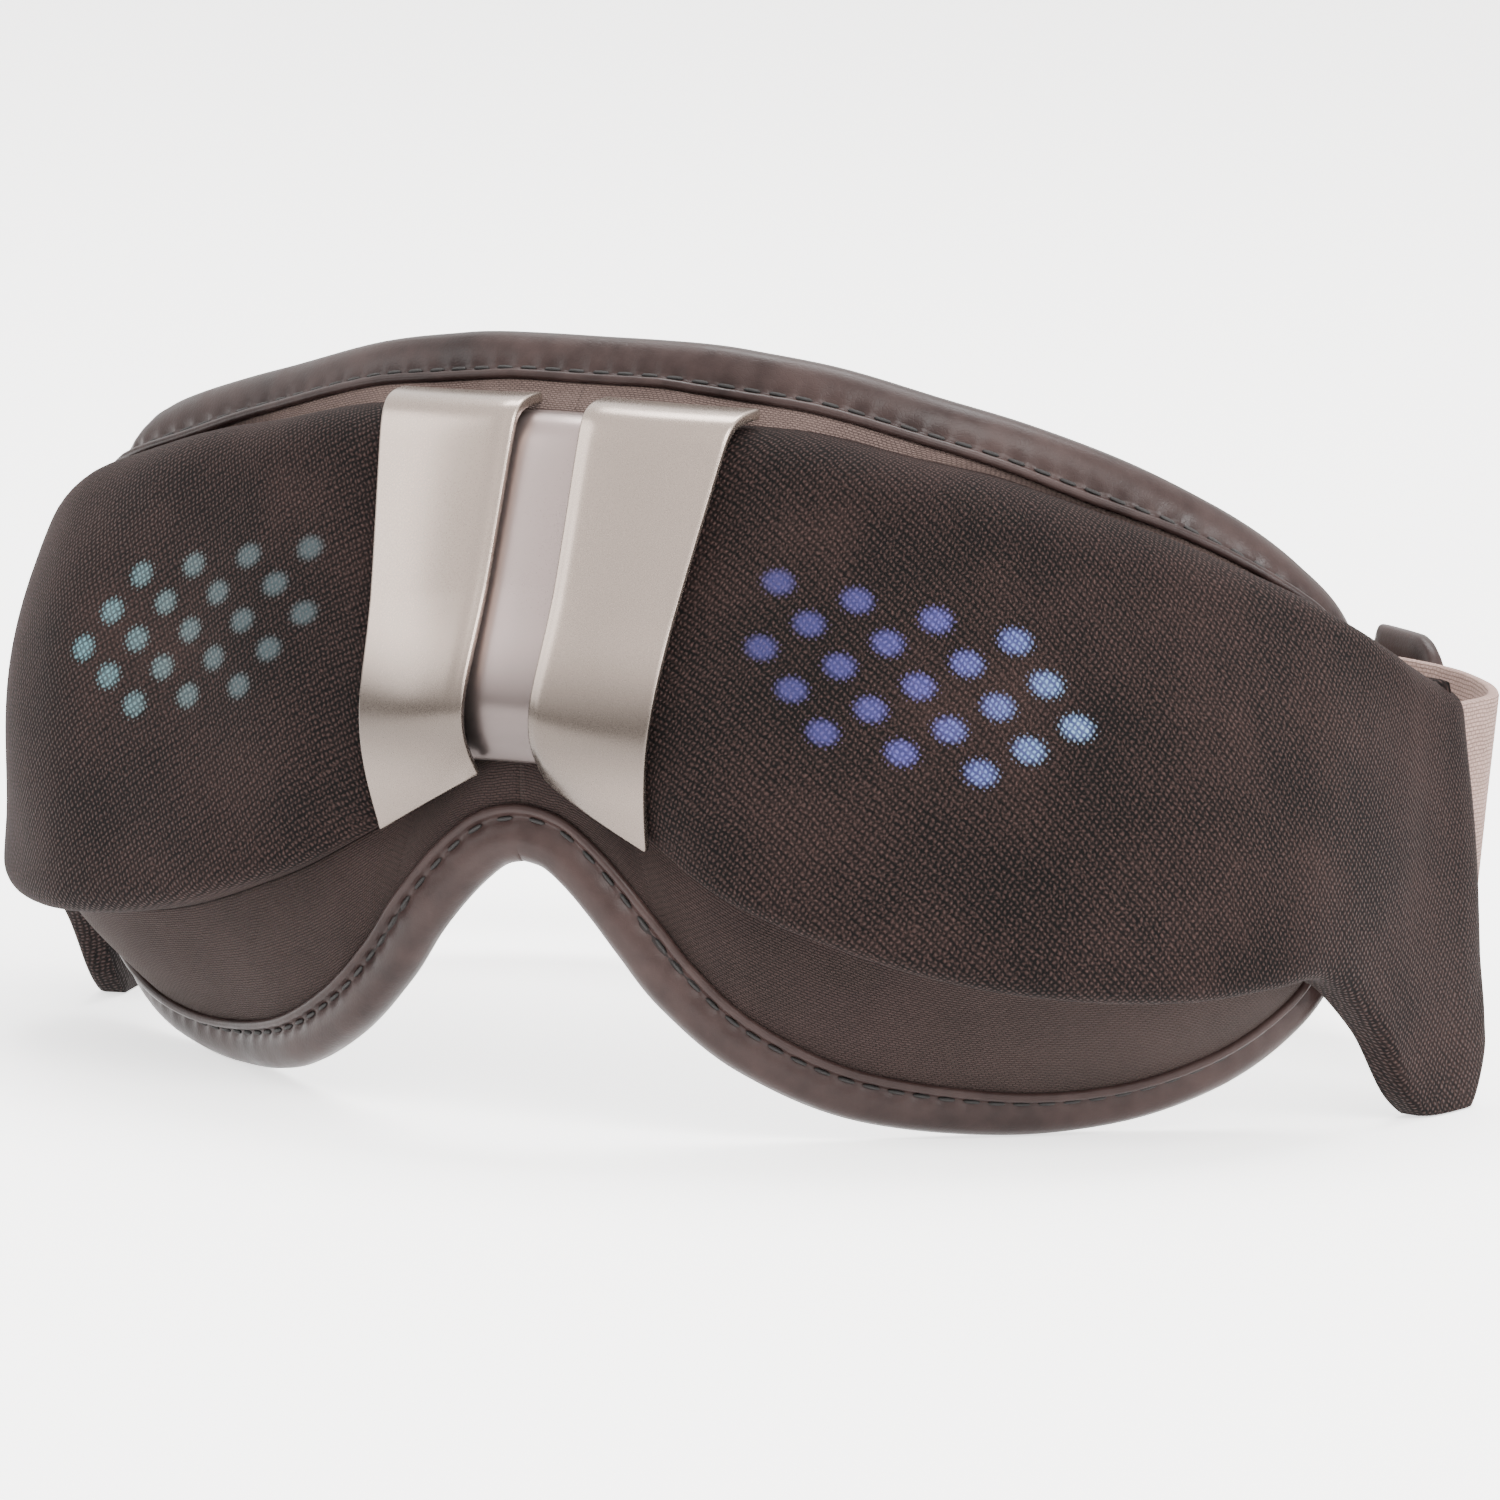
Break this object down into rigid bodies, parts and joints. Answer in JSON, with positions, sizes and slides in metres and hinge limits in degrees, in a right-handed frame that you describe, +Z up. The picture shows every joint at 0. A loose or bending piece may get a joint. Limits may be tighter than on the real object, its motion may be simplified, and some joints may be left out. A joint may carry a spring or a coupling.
{
  "type": "eye massager mask",
  "caption": "Folding eye massager mask: padded fabric pods on a hinged bridge, side wings with legs, light panels and an overlapping head strap.",
  "frame": {"origin": "centre of the footprint on the table, under the middle of the mask", "axes": "+X to the wearer's left, +Y from the front of the bridge towards the head, +Z up; the front faces -Y"},
  "size_m": [0.1884, 0.1384, 0.0936],
  "materials": {
    "shell_fabric": "dark warm brown fine knit with a soft sheen",
    "skirt_fabric": "taupe brown ribbed fabric",
    "champagne": "satin champagne coating",
    "band_champagne": "satin champagne coating",
    "leather": "smooth satin protein leather, taupe",
    "lining": "soft matt lining over foam",
    "webbing": "light taupe elastic webbing",
    "hook_tape": "dark hook tape",
    "housing_plastic": "dark moulded plastic",
    "steel": "plain steel",
    "light_guide": "milky translucent plastic",
    "circuit_board": "green solder mask",
    "airbag_film": "grey coated film",
    "heater_film": "amber film",
    "battery_wrap": "blue wrap",
    "pump_metal": "plain motor can",
    "button_plastic": "satin champagne plastic",
    "silicone": "grey silicone tube"
  },
  "bodies": {
    "bridge": {"bridge_band": "band_champagne", "hinge_spine": "housing_plastic", "hinge_pin_left": "steel", "hinge_pin_right": "steel", "nose_saddle": "lining", "flex_cable": "heater_film"},
    "left_half": {"fabric_cover_left": "shell_fabric", "front_shell_left": "housing_plastic", "light_guide_left": "light_guide", "light_board_left": "circuit_board", "bridge_plate_left": "champagne", "face_cushion_left": "lining", "cushion_roll_left": "leather", "fabric_skirt_left": "skirt_fabric", "heating_pad_left": "heater_film", "eye_airbag_left": "airbag_film", "inner_tray_left": "housing_plastic", "temple_arm_left": "housing_plastic", "temple_pad_left": "lining", "strap_bar_left": "housing_plastic", "strap_left": "webbing", "hinge_arm_left": "housing_plastic", "hinge_screw_left_1": "steel", "hinge_screw_left_2": "steel", "air_pump_left": "pump_metal", "air_valve_left": "housing_plastic", "air_hose_left": "silicone", "speaker_left": "housing_plastic", "battery": "battery_wrap"},
    "right_half": {"fabric_cover_right": "shell_fabric", "front_shell_right": "housing_plastic", "light_guide_right": "light_guide", "light_board_right": "circuit_board", "bridge_plate_right": "champagne", "face_cushion_right": "lining", "cushion_roll_right": "leather", "fabric_skirt_right": "skirt_fabric", "heating_pad_right": "heater_film", "eye_airbag_right": "airbag_film", "inner_tray_right": "housing_plastic", "temple_arm_right": "housing_plastic", "temple_pad_right": "lining", "strap_bar_right": "housing_plastic", "strap_right": "webbing", "hinge_arm_right": "housing_plastic", "hinge_screw_right_1": "steel", "hinge_screw_right_2": "steel", "air_pump_right": "pump_metal", "air_valve_right": "housing_plastic", "air_hose_right": "silicone", "speaker_right": "housing_plastic", "main_board": "circuit_board", "hook_patch": "hook_tape", "control_bezel": "button_plastic", "charging_port": "steel", "button_board": "circuit_board"},
    "power_button": {"power_button": "button_plastic"},
    "mode_button": {"mode_button": "button_plastic"}
  },
  "joints": [
    {"name": "fold_left", "type": "hinge", "parent": "bridge", "child": "left_half", "pos_m": [0.009, -0.05342, 0.0629], "axis": [0, 0, 1], "range_deg": [0, 40], "deforming": ["strap_left", "nose_saddle", "flex_cable"]},
    {"name": "fold_right", "type": "hinge", "parent": "bridge", "child": "right_half", "pos_m": [-0.009, -0.05342, 0.0629], "axis": [0, 0, -1], "range_deg": [0, 40], "deforming": ["strap_right", "hook_patch", "nose_saddle", "flex_cable"]},
    {"name": "power_press", "type": "slide", "parent": "right_half", "child": "power_button", "axis": [0.9775, 0.1995, -0.0684], "range_m": [0, 0.0006], "stiffness_N_per_m": 900, "springref_m": -0.001},
    {"name": "mode_press", "type": "slide", "parent": "right_half", "child": "mode_button", "axis": [0.9775, 0.1995, -0.0684], "range_m": [0, 0.0006], "stiffness_N_per_m": 900, "springref_m": -0.001}
  ]
}
